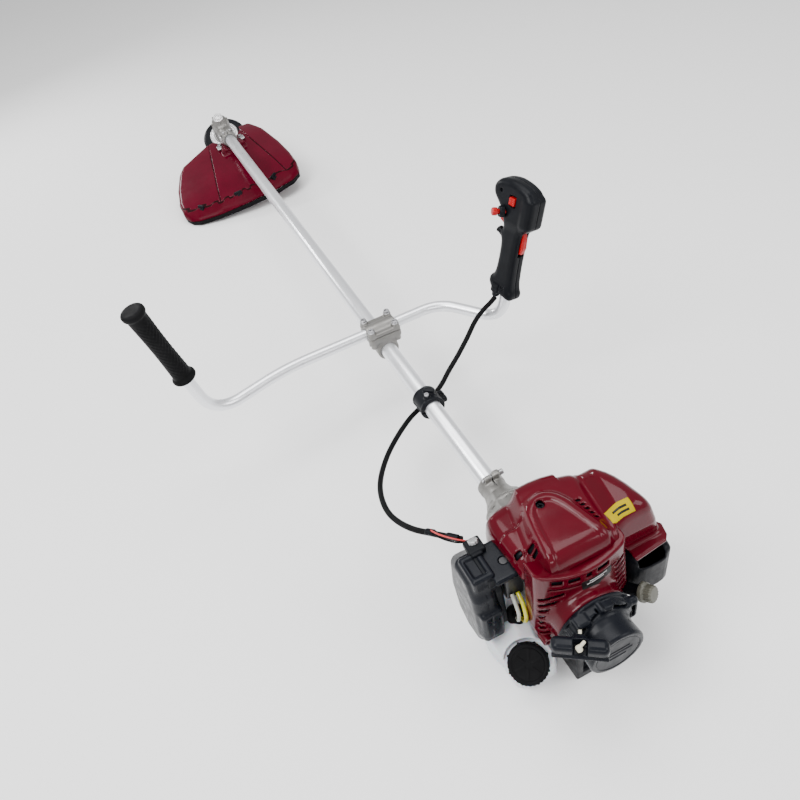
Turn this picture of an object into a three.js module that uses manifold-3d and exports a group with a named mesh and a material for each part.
// A four-stroke brush cutter with a straight shaft and bull-horn handlebar. Millimetres, +Z up.
// +Y runs forward along the drive shaft to the cutting head, +X is the operator's right.
// The parts are drawn about the drive axis, with y = 0 where the tube leaves the clutch collar.
// The whole machine is then lifted so that the origin is under the middle of the engine stand.
import * as THREE from 'three';
import { mergeVertices } from 'three/addons/utils/BufferGeometryUtils.js';
import Module from 'manifold-3d';

const wasm = await Module();
wasm.setup();

// ---- driving dimensions ----
const GAP = 0.3;                  // clearance between pieces that touch
const FLOOR = -128;               // ground below the drive axis
const STAND_MID = -224;           // the engine stand's middle along the drive axis
const TUBE_R = 14;                // main tube, outside
const TUBE_WALL = 1.5;
const TUBE_FRONT = 1418;          // the tube's end inside the gear case
const BAR_R = 9.5;                // handlebar tube, outside
const BAR_RISE = 33;              // handlebar's centre above the drive axis
const BAR_Y = 366;                // handlebar clamp's place on the tube
const STRAP_Y = 190;              // strap clamp's place on the tube
const CRANK_R = 7.5;
const FAN_BACK = -228;            // rear face of the red fan cover
const COVER_TOP = 114;            // top of the engine cover above the drive axis
const HEAD_Y = 1490;              // where the cutter's axis crosses the drive axis
const HEAD_ANGLE = Math.PI / 3;   // angle between the drive axis and the cutter's axis
const HEAD_ROLL = -6 * Math.PI / 180;
const SPOOL_R = 62;
const GRIP_R = 14.5;
const GRIP_AT = [-43, -277, 39];  // the starter's T-handle
const GRIP_YAW = 0.96;
const CAP_AT = [-80, -224, -68];  // outer face of the fuel cap
const CAP_AXIS = [-0.25, -0.46, 0.85];
const KNOB_AXIS = [-0.45, -0.89, 0];
const KNOB_AT = [-17, -10, 146];
const OIL_AT = [48, -178, -44];   // foot of the oil filler neck
const OIL_AXIS = [0.42, -0.81, 0.41];

const paint = (color, roughness, metalness) => new THREE.MeshStandardMaterial({ color, roughness, metalness });
const RED = paint(0x7a1420, 0.25, 0.0);
const TUBE_SILVER = paint(0xd4d7dc, 0.3, 0.9);
const CAST = paint(0xa9a8a6, 0.5, 0.8);
const STEEL = paint(0x8f9296, 0.35, 1.0);
const BLACK = paint(0x16171a, 0.5, 0.0);
const RUBBER = paint(0x0e0e0f, 0.8, 0.0);
const SIGNAL = paint(0xd01018, 0.35, 0.0);
const MILKY = paint(0xe4e6ea, 0.4, 0.0);
const OLIVE = paint(0x7d7b6c, 0.5, 0.0);
const FUEL_LINE = paint(0xc9c23a, 0.3, 0.0);

const machine = new THREE.Group();
machine.position.set(0, -STAND_MID, -FLOOR);

// ---- small helpers ----
function place(name, geometry, material, parent = machine) {
  const mesh = new THREE.Mesh(geometry, material);
  mesh.name = name;
  parent.add(mesh);
  return mesh;
}

// A geometry as a manifold solid, with its faces turned outwards.
function solid(geometry) {
  const bare = geometry.clone();
  bare.deleteAttribute('normal');
  bare.deleteAttribute('uv');
  const merged = mergeVertices(bare, 1e-4);
  const p = merged.attributes.position.array;
  const index = Array.from(merged.index.array);
  let volume = 0;
  const triangles = [];
  for (let i = 0; i < index.length; i += 3) {
    const [a, b, c] = [index[i], index[i + 1], index[i + 2]];
    if (a === b || b === c || a === c) continue;
    triangles.push(a, b, c);
    const va = new THREE.Vector3(p[3 * a], p[3 * a + 1], p[3 * a + 2]);
    const vb = new THREE.Vector3(p[3 * b], p[3 * b + 1], p[3 * b + 2]);
    const vc = new THREE.Vector3(p[3 * c], p[3 * c + 1], p[3 * c + 2]);
    volume += va.dot(vb.cross(vc));
  }
  if (volume < 0) triangles.reverse();
  const mesh = new wasm.Mesh({
    numProp: 3,
    vertProperties: new Float32Array(p),
    triVerts: new Uint32Array(triangles),
  });
  return new wasm.Manifold(mesh);
}

function fromSolid(manifold) {
  const mesh = manifold.getMesh();
  const geometry = new THREE.BufferGeometry();
  geometry.setAttribute('position', new THREE.BufferAttribute(mesh.vertProperties, 3));
  geometry.setIndex(new THREE.BufferAttribute(mesh.triVerts, 1));
  return geometry;
}

const join = (...parts) => fromSolid(parts.map(solid).reduce((all, one) => all.add(one)));
const cut = (body, ...tools) => fromSolid(tools.map(solid).reduce((all, one) => all.subtract(one), solid(body)));
const common = (a, b) => fromSolid(solid(a).intersect(solid(b)));

// A body turned about the drive axis (Y) from [radius, y] pairs. A ring closes on its first point.
function turned(profile, segments = 24, ring = false) {
  const points = profile.map(([r, y]) => new THREE.Vector2(r, y));
  if (ring) points.push(points[0].clone());
  return fromSolid(solid(new THREE.LatheGeometry(points, segments)));
}

function rod(radius, yLow, yHigh, segments = 16) {
  return turned([[0, yLow], [radius, yLow], [radius, yHigh], [0, yHigh]], segments);
}

function box(low, high) {
  const size = high.map((h, i) => h - low[i]);
  const geometry = new THREE.BoxGeometry(...size);
  return geometry.translate(...low.map((l, i) => l + size[i] / 2));
}

// An outline in the X-Y plane pushed along Z, with its edges rounded by `bevel`.
function prism(outline, low, high, bevel = 0, steps = 2) {
  const shape = new THREE.Shape(outline.map(([x, y]) => new THREE.Vector2(x, y)));
  const geometry = new THREE.ExtrudeGeometry(shape, {
    depth: high - low - 2 * bevel,
    bevelEnabled: bevel > 0,
    bevelThickness: bevel,
    bevelSize: bevel,
    bevelOffset: -bevel,
    bevelSegments: steps,
    curveSegments: 6,
  });
  return geometry.translate(0, 0, low + bevel);
}

// The outline is in Y-Z and is pushed along X.
function prismX(outline, low, high, bevel = 0, steps = 2) {
  const turn = new THREE.Matrix4().makeBasis(
    new THREE.Vector3(0, 1, 0), new THREE.Vector3(0, 0, 1), new THREE.Vector3(1, 0, 0));
  return prism(outline, low, high, bevel, steps).applyMatrix4(turn);
}

// The outline is in X-Z and is pushed along Y.
function prismY(outline, low, high, bevel = 0, steps = 2) {
  const turn = new THREE.Matrix4().makeBasis(
    new THREE.Vector3(1, 0, 0), new THREE.Vector3(0, 0, 1), new THREE.Vector3(0, -1, 0));
  return prism(outline, -high, -low, bevel, steps).applyMatrix4(turn);
}

function circle(radius, count, x = 0, y = 0) {
  const angles = Array.from({ length: count }, (_, i) => i / count * 2 * Math.PI);
  return angles.map((a) => [x + radius * Math.cos(a), y + radius * Math.sin(a)]);
}

// A skin over level sections given as [height, outline]; every outline has the same number of points.
function loft(sections) {
  const count = sections[0][1].length;
  const points = sections.flatMap(([z, outline]) => outline.flatMap(([x, y]) => [x, y, z]));
  const index = [];
  for (let level = 0; level < sections.length - 1; level += 1) {
    for (let i = 0; i < count; i += 1) {
      const [a, b] = [level * count + i, level * count + (i + 1) % count];
      index.push(a, b, b + count, a, b + count, a + count);
    }
  }
  const top = (sections.length - 1) * count;
  for (let i = 1; i < count - 1; i += 1) index.push(0, i + 1, i, top, top + i, top + i + 1);
  const geometry = new THREE.BufferGeometry();
  geometry.setAttribute('position', new THREE.Float32BufferAttribute(points, 3));
  geometry.setIndex(index);
  return geometry;
}

// Straight runs joined by bends: each inner corner is cut back by `reach` and rounded.
function bentPath(corners, reach) {
  const path = new THREE.CurvePath();
  const points = corners.map((c) => new THREE.Vector3(...c));
  let from = points[0];
  for (let i = 1; i < points.length - 1; i += 1) {
    const back = points[i - 1].clone().sub(points[i]).setLength(reach[i - 1]).add(points[i]);
    const ahead = points[i + 1].clone().sub(points[i]).setLength(reach[i - 1]).add(points[i]);
    path.add(new THREE.LineCurve3(from, back));
    path.add(new THREE.QuadraticBezierCurve3(back, points[i], ahead));
    from = ahead;
  }
  path.add(new THREE.LineCurve3(from, points[points.length - 1]));
  return path;
}

function along(path, radius, steps, sides, inner = 0) {
  const shape = new THREE.Shape(circle(radius, sides).map(([x, y]) => new THREE.Vector2(x, y)));
  if (inner > 0) {
    shape.holes.push(new THREE.Path(circle(inner, sides).map(([x, y]) => new THREE.Vector2(x, y))));
  }
  return new THREE.ExtrudeGeometry(shape, { steps, bevelEnabled: false, extrudePath: path });
}

// Turns and moves a Y-axis body so that its axis runs along `direction` from `origin`.
function aim(geometry, origin, direction) {
  const axis = new THREE.Vector3(...direction).normalize();
  const turn = new THREE.Quaternion().setFromUnitVectors(new THREE.Vector3(0, 1, 0), axis);
  return geometry.applyQuaternion(turn).translate(...origin);
}

// ---- drive line ----
function buildDriveLine() {
  const inner = TUBE_R - TUBE_WALL;
  const tube = [[inner, -24], [TUBE_R, -24], [TUBE_R, TUBE_FRONT], [inner, TUBE_FRONT]];
  place('shaft_tube', turned(tube, 24, true), TUBE_SILVER);
  place('drive_shaft', rod(4, -27.7, 1461.7, 12), STEEL);
  const bushLength = 20;
  [400, 950].forEach((y, i) => {
    const bush = [[4.4, y], [12.1, y], [12.1, y + bushLength], [4.4, y + bushLength]];
    place(`shaft_bush_${i + 1}`, turned(bush, 12, true), RUBBER);
  });
}

// ---- clutch ----
function buildClutch() {
  const housing = [[19, -2], [19, -13], [17.6, -14], [19.5, -25], [26, -38], [34, -54], [38.5, -70], [41, -95],
    [34, -95], [34, -52], [9, -50], [9, -26], [TUBE_R + GAP, -26], [TUBE_R + GAP, -2]];
  const slit = box([-1, -22, 10], [1, 1, 30]);
  place('clutch_housing', cut(turned(housing, 28, true), slit), CAST);
  const drum = [[0, -28], [7.5, -28], [7.5, -54], [29, -56], [29, -84], [26.5, -84], [26.5, -60], [0, -60]];
  place('clutch_drum', turned(drum, 24), STEEL);
  const slots = [-1, 1].map((s) => box([s * 9 - 2, -83, s * 7 - 9], [s * 9 + 2, -61, s * 7 + 9]));
  place('clutch_shoes', cut(rod(25.4, -82, -62, 24), ...slots), STEEL);
}

// ---- engine block and crank train ----
function buildEngineBlock() {
  const caseOutline = [[-44, -34], [-30, -50], [30, -50], [44, -34], [44, 8], [31, 34], [-31, 34], [-44, 8]];
  const body = prismY(caseOutline, -186, -95.3);
  const webRoom = rod(23, -170, -130, 20);
  const journal = rod(CRANK_R + 0.4, -190, -90, 16);
  const throat = aim(rod(20, 0, 45, 20), [0, -150, 0], [0, 0, 1]);
  place('crankcase', cut(body, webRoom, journal, throat), CAST);

  const pinThrow = 13;
  const pin = rod(6, -157, -143, 12).translate(0, 0, pinThrow);
  const webs = [-163, -145].map((y) => rod(20, y, y + 8, 20));
  const ends = [rod(CRANK_R, -137.5, -82.3, 16), rod(CRANK_R, -228, -160, 16)];
  place('crankshaft', join(pin, ...webs, ...ends), STEEL);

  const pistonLow = 50;
  const piston = cut(rod(19.3, 0, 26, 20), rod(16, -1, 18, 20));
  place('piston', aim(piston, [0, -150, pistonLow], [0, 0, 1]), TUBE_SILVER);

  const fin = 6.5;
  const half = [36, 27];
  const comb = [];
  for (let z = 34.3; z < 84; z += fin) {
    comb.push([half[0], z], [half[0], z + 2.6], [half[1], z + 2.6], [half[1], z + fin]);
  }
  const top = 90;
  comb.push([half[1], top], [-half[1], top]);
  comb.push(...comb.slice(0, -2).reverse().map(([x, z]) => [-x, z]));
  const bore = aim(rod(19.8, 0, 56, 20), [0, -150, 30], [0, 0, 1]);
  place('cylinder_block', cut(prismY(comb, -182, -118), bore), CAST);
}

function buildFlywheel() {
  const disc = turned([[8, -212], [8, -192], [16, -192], [16, -204], [44, -206], [44, -212]], 28, true);
  const blade = box([20, -207, -1.2], [43, -193, 1.2]);
  const blades = Array.from({ length: 12 }, (_, i) => blade.clone().rotateY(i * Math.PI / 6));
  place('flywheel_fan', join(disc, ...blades), STEEL);
}

// ---- engine covers ----
function buildTopCover() {
  const sections = [
    [-30, [[-62, -116], [-56, -90], [20, -86], [84, -104], [114, -146], [120, -214], [-54, -214], [-60, -150]]],
    [60, [[-62, -114], [-54, -90], [20, -84], [86, -104], [112, -144], [118, -214], [-54, -214], [-58, -150]]],
    [80, [[-59, -112], [-52, -98], [14, -90], [88, -112], [111, -150], [115, -212], [-48, -214], [-54, -150]]],
    [86, [[-56, -113], [-49, -99], [13, -91], [87, -113], [109, -150], [112, -212], [-44, -217], [-51, -150]]],
    [100, [[-44, -120], [-34, -106], [8, -103], [80, -122], [101, -150], [104, -206], [-36, -212], [-40, -150]]],
    [111, [[-20, -124], [-10, -116], [14, -113], [76, -133], [91, -156], [92, -194], [-12, -202], [-18, -150]]],
    [COVER_TOP, [[-10, -130], [0, -122], [16, -120], [72, -140], [84, -160], [82, -184], [-4, -194], [-8, -150]]],
  ];
  const wall = 2.6;
  const middle = [28, -155];
  const inward = (v, m) => v - Math.sign(v - m) * wall;
  const hollow = sections.map(([z, outline], i) => [i ? z - wall : z - 30,
    outline.map(([x, y]) => [inward(x, middle[0]), inward(y, middle[1])])]);
  const belowSkirt = box([-80, -230, -70], [140, -70, 26]);
  const inletNotch = box([-80, -230, 20], [-40, -112, 58]);
  const skirt = prism([[60, -150], [100, -150], [124, -206], [122, -214], [60, -214]], 24, 40, 5, 1);
  const hood = join(loft(sections), skirt);
  const clutchRoom = rod(47, -120, -60, 24);
  const fanRoom = rod(49, -230, -180, 24);
  place('top_cover', cut(hood, loft(hollow), belowSkirt, inletNotch, clutchRoom, fanRoom), RED);
}

function buildFanCover() {
  const skin = prismY([[-54, 60], [-54, -30], [-46, -60], [30, -62], [57, -32], [61, 0], [72, 12], [72, 60],
    [62, 82], [-44, 82]], FAN_BACK, -214.3, 5, 2);
  const drumRoom = rod(48, -260, -200, 28);
  const airRoom = prismY([[-50, 56], [-50, -28], [-43, -56], [28, -58], [53, -30], [57, 2], [68, 14], [68, 57],
    [60, 78], [-42, 78]], FAN_BACK + 3, -200);
  const louvres = Array.from({ length: 7 }, (_, i) => box([-46, -240, -31 + i * 13], [-27, -220, -24 + i * 13]));
  place('fan_cover', cut(skin, drumRoom, airRoom, ...louvres), RED);
}

function buildStarter() {
  const back = FAN_BACK - GAP;
  const shell = [[50, back], [50, -240], [45.5, -242], [45.5, -257], [40, -262], [36.5, -270], [35, -287], [31, -289],
    [0, -289], [0, -286], [31, -286], [33, -269], [38, -259.5], [42.5, -256], [42.5, -241], [46, -239], [46, back]];
  const ear = box([38, -257, -12], [54, -246, 22]);
  const windows = [0.9, 1.7, 2.5, 3.9, 4.7, 5.5].map((a) => box([-6, -256, 38], [6, -244, 54]).rotateY(a));
  const spindleRoom = rod(42.4, -256, -230, 32);
  place('recoil_housing', cut(join(turned(shell, 32, true), cut(ear, spindleRoom)), ...windows), BLACK);
  const pulley = [[0, -244], [30, -244], [30, -247], [25, -249], [25, -253], [30, -255], [30, -258], [0, -258]];
  place('starter_pulley', turned(pulley, 20), BLACK);
  const grip = join(
    rod(7.5, -29, 29, 10).scale(1, 1, 0.8),
    aim(rod(7, 0, 12, 10), [0, 0, 0], [1, 0, 0]));
  place('starter_grip', grip.rotateZ(GRIP_YAW).translate(...GRIP_AT), BLACK);
}

function buildFoot() {
  const outline = [[-24, FLOOR], [36, FLOOR], [36, -66], [26, -66], [26, -118], [-14, -118], [-14, -66], [-24, -66]];
  place('engine_stand', prismY(outline, -248, -200), BLACK);
}

// ---- fuel tank, intake and exhaust ----
function buildFuelSystem() {
  const low = FLOOR + 2;
  const front = prismY([[-90, low], [62, low], [62, -74], [50, -62], [-44, -56], [-52, -46], [-72, -46],
    [-78, -84], [-103, -84], [-102, -106]], -186, -112, 5, 2);
  const rear = prismY([[-88, low], [-38, low], [-43, -76], [-58, -60], [-74, -56], [-102, -74], [-100, -106]],
    -232, -170, 5, 2);
  const frontRoom = prismY([[-88, -123], [59, -123], [59, -76], [48, -65], [-46, -59], [-54, -50], [-70, -50],
    [-75, -87], [-100, -87], [-99, -105]], -183, -115, 4, 1);
  const rearRoom = prismY([[-86, -123], [-41, -123], [-46, -78], [-59, -64], [-73, -60], [-99, -77], [-97, -105]],
    -229, -176, 4, 1);
  const neck = aim(rod(20, -34, -16.4, 18), CAP_AT, CAP_AXIS);
  const neckBore = aim(rod(16, -48, 0, 16), CAP_AT, CAP_AXIS);
  const capRoom = aim(rod(31, -16.3, 40, 24), CAP_AT, CAP_AXIS);
  place('fuel_tank', cut(join(cut(join(front, rear), capRoom), neck), frontRoom, rearRoom, neckBore), MILKY);
  place('fuel_cap', aim(rod(26.5, -16, 0, 28), CAP_AT, CAP_AXIS), RUBBER);

  const carb = join(
    box([-74, -172, 4], [-48, -130, 52]),
    aim(rod(8.5, 0, 37.4, 16), [-74, -150, 43], [1, 0, 0]));
  const bulbRoom = aim(rod(8.7, 0, 6, 16), [-62, -151, 2.6], [0, 0, 1]);
  place('carburettor', cut(carb, bulbRoom), CAST);
  const filterSide = [[-104, 44], [-122, 58], [-160, 58], [-172, 30], [-178, -44], [-166, -70],
    [-134, -78], [-108, -60], [-97, -10]];
  place('air_cleaner_base', prismX(filterSide.map(([y, z]) => [y * 0.97 - 4, z * 0.97]), -89, -77, 2, 1), BLACK);
  place('air_cleaner_cover', prismX(filterSide, -117, -89.3, 9, 3), BLACK);
  place('choke_lever', join(
    box([-95, -160, 58.6], [-90, -128, 62]),
    box([-95, -134, 60], [-80, -128, 66])), BLACK);
  const bulb = turned([[0, 0], [8, 0], [8, 3], [6, 8], [0, 10]], 14);
  place('primer_bulb', aim(bulb, [-62, -151, 3.7], [0, 0, -1]), RUBBER);
  const arm = join(
    aim(rod(5, 0, 5, 12), [-64, -151, 52.3], [0, 0, 1]),
    box([-67, -151, 53], [-61, -126, 56]));
  place('throttle_arm', arm, STEEL);

  const feed = new THREE.CatmullRomCurve3([[-60, -173.4, 12], [-60, -184, 9], [-59, -192, -8], [-59, -187, -30],
    [-59, -180, -44.6]].map((p) => new THREE.Vector3(...p)));
  place('fuel_hose_feed', along(feed, 2.6, 14, 8), FUEL_LINE);
  const back = new THREE.CatmullRomCurve3([[-68, -173.4, 14], [-68, -180, 11], [-68, -186, -8], [-68, -182, -28],
    [-67, -176, -44.6]].map((p) => new THREE.Vector3(...p)));
  place('fuel_hose_return', along(back, 2.4, 14, 8), MILKY);

  place('muffler', prism([[46, -186], [108, -186], [108, -134], [46, -134]], -28, 22, 7, 2), STEEL);
  const guard = prism([[86, -222], [128, -222], [134, -206], [128, -128], [70, -124], [74, -200]], -50, 23, 6, 2);
  const guardRoom = prism([[60, -218], [125, -218], [131, -205], [125, -131], [60, -127]], -46, 40);
  place('muffler_guard', cut(guard, guardRoom), BLACK);

  place('oil_filler_neck', aim(rod(7, 0, 70, 14), OIL_AT, OIL_AXIS), CAST);
  place('oil_cap', aim(turned([[0, 70.3], [13, 70.3], [13, 78], [10.5, 78], [10.5, 87], [0, 87]], 16),
    OIL_AT, OIL_AXIS), OLIVE);
}

// ---- strap clamp and handlebar ----
function buildTubeClamps() {
  const ring = [[TUBE_R + GAP, STRAP_Y - 17], [20, STRAP_Y - 17], [20, STRAP_Y + 17], [TUBE_R + GAP, STRAP_Y + 17]];
  const ear = box([16, STRAP_Y - 12, -6], [29, STRAP_Y + 12, 6]);
  const eye = aim(rod(4, -20, 20, 12), [24, STRAP_Y, 0], [0, 0, 1]);
  const eyeBlock = cut(ear, eye);
  place('strap_clamp', join(turned(ring, 20, true), eyeBlock), BLACK);

  const split = BAR_RISE;
  const tubeHole = rod(TUBE_R + GAP, BAR_Y - 60, BAR_Y + 60, 20);
  const barHole = aim(rod(BAR_R + GAP, -60, 60, 16), [0, BAR_Y, BAR_RISE], [1, 0, 0]);
  const bolts = [[-22, -17], [22, -17], [-22, 17], [22, 17]];
  const shankHoles = bolts.map(([x, y]) => aim(rod(3.3, -30, 40, 8), [x, BAR_Y + y, split], [0, 0, 1]));
  const saddle = prismY([[-19, -19], [19, -19], [30, 6], [30, split - GAP], [-30, split - GAP], [-30, 6]],
    BAR_Y - 24, BAR_Y + 24);
  place('handlebar_clamp_base', cut(saddle, tubeHole, barHole, ...shankHoles), CAST);
  const capOutline = [[-30, split], [30, split], [30, split + 6], [20, split + 14], [-20, split + 14],
    [-30, split + 6]];
  place('handlebar_clamp_cap', cut(prismY(capOutline, BAR_Y - 24, BAR_Y + 24), barHole, ...shankHoles), CAST);
  bolts.forEach(([x, y], i) => {
    const bolt = turned([[0, -28], [2.9, -28], [2.9, 14.3], [5, 14.3], [5, 19], [0, 19]], 10);
    place(`clamp_bolt_${i + 1}`, aim(bolt, [x, BAR_Y + y, split], [0, 0, 1]), STEEL);
  });
}

const LEFT_TOP = [-351, 333, 263];
const LEFT_BOTTOM = [-327, 333, 122];
const HANDLE_FOOT = [194, 270, 69];
const HANDLE_UP = [0.253, 0, 0.967];
function buildHandlebar() {
  const inGrip = 8;
  const leftEnd = [LEFT_TOP[0] + 0.17 * inGrip, LEFT_TOP[1], LEFT_TOP[2] - inGrip];
  const inHandle = 58;
  const rightEnd = HANDLE_FOOT.map((v, i) => v + HANDLE_UP[i] * inHandle);
  const corners = [leftEnd, [-311.5, 333, 31], [-180, BAR_Y, BAR_RISE], [114, BAR_Y, BAR_RISE],
    [183.5, 270, 29], rightEnd];
  const path = bentPath(corners, [52, 46, 34, 36]);
  place('handlebar_tube', along(path, BAR_R, 60, 10, BAR_R - 1.8), TUBE_SILVER);

  const length = 143;
  const sleeve = [[BAR_R + GAP, 0], [19, 0], [19, 5], [GRIP_R, 8], [GRIP_R, length - 12], [18, length - 8],
    [18, length - 2], [0, length], [0, length - 4], [BAR_R + GAP, length - 4]];
  const up = LEFT_TOP.map((v, i) => v - LEFT_BOTTOM[i]);
  place('left_grip', aim(turned(sleeve, 20, true), LEFT_BOTTOM, up), RUBBER);
}

// ---- throttle handle: x of its own frame points at the trigger side, y at the rider's palm side face ----
function handleFrame() {
  const up = new THREE.Vector3(...HANDLE_UP).normalize();
  const trigger = new THREE.Vector3(0.192, -0.980, -0.050);
  trigger.addScaledVector(up, -trigger.dot(up)).normalize();
  const side = new THREE.Vector3().crossVectors(up, trigger);
  const group = new THREE.Group();
  group.applyMatrix4(new THREE.Matrix4().makeBasis(trigger, side, up));
  group.position.set(...HANDLE_FOOT);
  machine.add(group);
  return group;
}

function buildThrottleHandle() {
  const handle = handleFrame();
  const outline = [[-13, 2], [-4, 6], [16, 3], [21, 6], [22, 14], [17, 24], [15, 60], [15, 82], [16, 120],
    [24, 125], [32, 136], [33, 170], [26, 188], [6, 195], [-18, 197], [-42, 191], [-53, 179], [-51, 164],
    [-36, 151], [-25, 138], [-22, 118], [-27, 112], [-26, 105], [-21, 96], [-21, 60], [-24, 38], [-33, 30],
    [-33, 20], [-24, 10]];
  const body = prismY(outline, -17, 17, 6, 2);
  const halves = [box([-60, -30, -10], [40, -GAP / 2, 210]), box([-60, GAP / 2, -10], [40, 30, 210])];
  const barRoom = aim(rod(BAR_R + 0.5, -20, 62, 16), [0, 0, 0], [0, 0, 1]);
  const triggerRoom = box([-9, -5.6, 80], [40, 5.6, 123]);
  const palmRoom = box([-40, -5.6, 118], [-9, 5.6, 140]);
  const switchRoom = box([-13, -30, 158], [1, -9, 176]);
  const knobRoom = aim(rod(4.8, -14, 30, 12), KNOB_AT, KNOB_AXIS);
  const cableRoom = aim(rod(5, -10, 14, 8), [-12, -11, 0], [0, 0, 1]);
  const shell = (half) => cut(common(body, half), barRoom, triggerRoom, palmRoom, switchRoom, knobRoom, cableRoom);
  place('throttle_case_inner', shell(halves[0]), BLACK, handle);
  place('throttle_case_outer', shell(halves[1]), BLACK, handle);
  const triggerSide = [[4, 84], [18, 86], [20, 96], [17, 112], [12, 121.6], [4, 121.6]];
  place('throttle_trigger', prismY(triggerSide, -5, 5), SIGNAL, handle);
  place('lockout_lever', prismY([[-17, 122], [-28, 121], [-37, 125], [-35, 133], [-17, 137]], -5, 5), SIGNAL, handle);
  place('stop_switch', prismY([[-12, 161], [0, 161], [0, 173], [-12, 173]], -19.5, -11), SIGNAL, handle);
  const knob = turned([[0, -8], [4, -8], [4, 19], [6.2, 19], [6.2, 27], [0, 27]], 12);
  place('hold_button', aim(knob, KNOB_AT, KNOB_AXIS), SIGNAL, handle);
}

// ---- throttle cable, held by the handle, the strap clamp and the carburettor ----
const CABLE_R = 4.3;
const CABLE_ROUTE = [[180, 280, 69], [172, 284, 58], [157, 284, 49], [136, 275, 41], [110, 257, 31], [84, 242, 19],
  [60, 232, 5], [38, 223, -10], [14, 216, -21], [-10, 208, -23], [-34, 196, -22], [-64, 175, -22],
  [-94, 148, -21], [-118, 118, -18], [-134, 88, -12], [-143, 56, -3], [-146, 24, 7], [-142, -6, 18], [-132, -36, 31], [-117, -62, 43], [-101, -84, 50],
  [-90, -96, 52]];
function buildThrottleCable() {
  const route = new THREE.CatmullRomCurve3(CABLE_ROUTE.map((p) => new THREE.Vector3(...p)));
  place('throttle_cable', along(route, CABLE_R, 60, 8), RUBBER);
}

// ---- cutting head, rolled a little about the tube ----
function buildCuttingHead() {
  const head = new THREE.Group();
  head.rotation.y = HEAD_ROLL;
  machine.add(head);
  const centre = [0, HEAD_Y, 0];
  const down = [0, Math.cos(HEAD_ANGLE), -Math.sin(HEAD_ANGLE)];
  const onCutterAxis = (geometry) => aim(geometry, centre, down);

  const neck = turned([[0, 1399], [19, 1399], [19, 1412], [17.5, 1414], [17.5, 1448], [21, 1462], [21, 1480],
    [0, 1480]], 20);
  const barrel = onCutterAxis(turned([[0, -44], [11, -44], [13, -42], [20, -34], [22.5, -20], [22.5, 14], [24, 18],
    [24, 25], [0, 25]], 24));
  const tubeHole = rod(TUBE_R + GAP, 1390, TUBE_FRONT + GAP, 20);
  const pinionRoom = rod(12, 1410, HEAD_Y, 16);
  const gearRoom = onCutterAxis(rod(17.5, -36, 21, 20));
  const shaftHole = onCutterAxis(rod(6, 15, 30, 16));
  const hexCap = onCutterAxis(rod(12, -51, -40, 6));
  place('gear_case', cut(join(neck, barrel, hexCap), tubeHole, pinionRoom, gearRoom, shaftHole), CAST, head);

  place('bevel_pinion', turned([[0, 1462], [10, 1464], [10, 1467], [6, 1477], [0, 1477]], 14), STEEL, head);
  const gear = turned([[0, -34], [6, -34], [6, -29], [13, -27], [14.4, -21.5], [8.5, -13], [0, -13]], 18);
  place('bevel_gear', onCutterAxis(gear), STEEL, head);
  place('output_shaft', onCutterAxis(rod(5, -12.7, 33.7, 14)), STEEL, head);
  const flange = turned([[6, 25.4], [38, 25.4], [40, 27], [40, 31], [36, 33.4], [6, 33.4]], 28, true);
  place('cutter_flange', onCutterAxis(flange), TUBE_SILVER, head);
  const spool = [[0, 34], [56, 34], [SPOOL_R, 38], [SPOOL_R, 60], [54, 74], [30, 78], [27, 78], [27, 50], [0, 50]];
  place('spool_housing', onCutterAxis(turned(spool, 32)), BLACK, head);
  place('bump_knob', onCutterAxis(turned([[0, 60], [24, 60], [26, 90], [20, 97], [0, 98]], 24)), RUBBER, head);

  const saddle = prismY([[-40, -24], [40, -24], [40, -18], [24, -16], [22, 6], [-22, 6], [-24, -16],
    [-40, -18]], 1424, 1440);
  place('guard_bracket', cut(saddle, rod(19.3, 1415, 1450, 20)), TUBE_SILVER, head);
  [-31, 31].forEach((x, i) => {
    const bolt = turned([[0, -15.6], [5.5, -15.6], [5.5, -10], [0, -10]], 8);
    place(`guard_bolt_${i + 1}`, aim(bolt, [x, 1432, 0], [0, 0, 1]), STEEL, head);
  });
  buildGuard(head);
}

function buildGuard(head) {
  const plan = [[-40, 1487], [-68, 1484], [-151, 1461], [-172, 1436], [-195, 1385], [-208, 1335], [-209, 1290],
    [-199, 1262], [-180, 1244], [-130, 1228], [-50, 1216], [40, 1213], [92, 1224], [118, 1246], [128, 1280],
    [129, 1320], [122, 1380], [104, 1460], [84, 1505], [76, 1514], [48, 1510]];
  const inset = (by) => plan.map(([x, y]) => {
    const r = Math.hypot(x + 42, y - 1345);
    return [x - (x + 42) / r * by, y - (y - 1345) / r * by];
  });
  const side = (drop) => [[1530, -16 - drop], [1440, -25 - drop], [1282, -62 - drop], [1190, -111 - drop],
    [1190, -160], [1530, -160]];
  const outer = common(prism(plan, -97, 0), prismX(side(0), -260, 180));
  const inner = common(prism(inset(3), -140, 10), prismX(side(3), -260, 180));
  const neckRoom = rod(26, 1380, 1540, 20);
  const down = [0, Math.cos(HEAD_ANGLE), -Math.sin(HEAD_ANGLE)];
  const caseRoom = aim(rod(45, -40, 40, 28), [0, HEAD_Y, 0], down);
  const spoolRoom = aim(rod(SPOOL_R + 8, 33, 100, 28), [0, HEAD_Y, 0], down);
  place('guard_panel', cut(outer, inner, neckRoom, caseRoom, spoolRoom), RED, head);
  const rearOnly = box([-230, 1190, -120], [150, 1300, -90]);
  const strip = cut(prism(inset(-0.5), -107, -97.3), prism(inset(3.5), -130, -80));
  place('guard_skirt', common(strip, rearOnly), RUBBER, head);
}

buildDriveLine();
buildClutch();
buildEngineBlock();
buildFlywheel();
buildTopCover();
buildFanCover();
buildStarter();
buildFoot();
buildFuelSystem();
buildTubeClamps();
buildHandlebar();
buildThrottleHandle();
buildThrottleCable();
buildCuttingHead();

const root = new THREE.Group();
root.add(machine);
export default root;
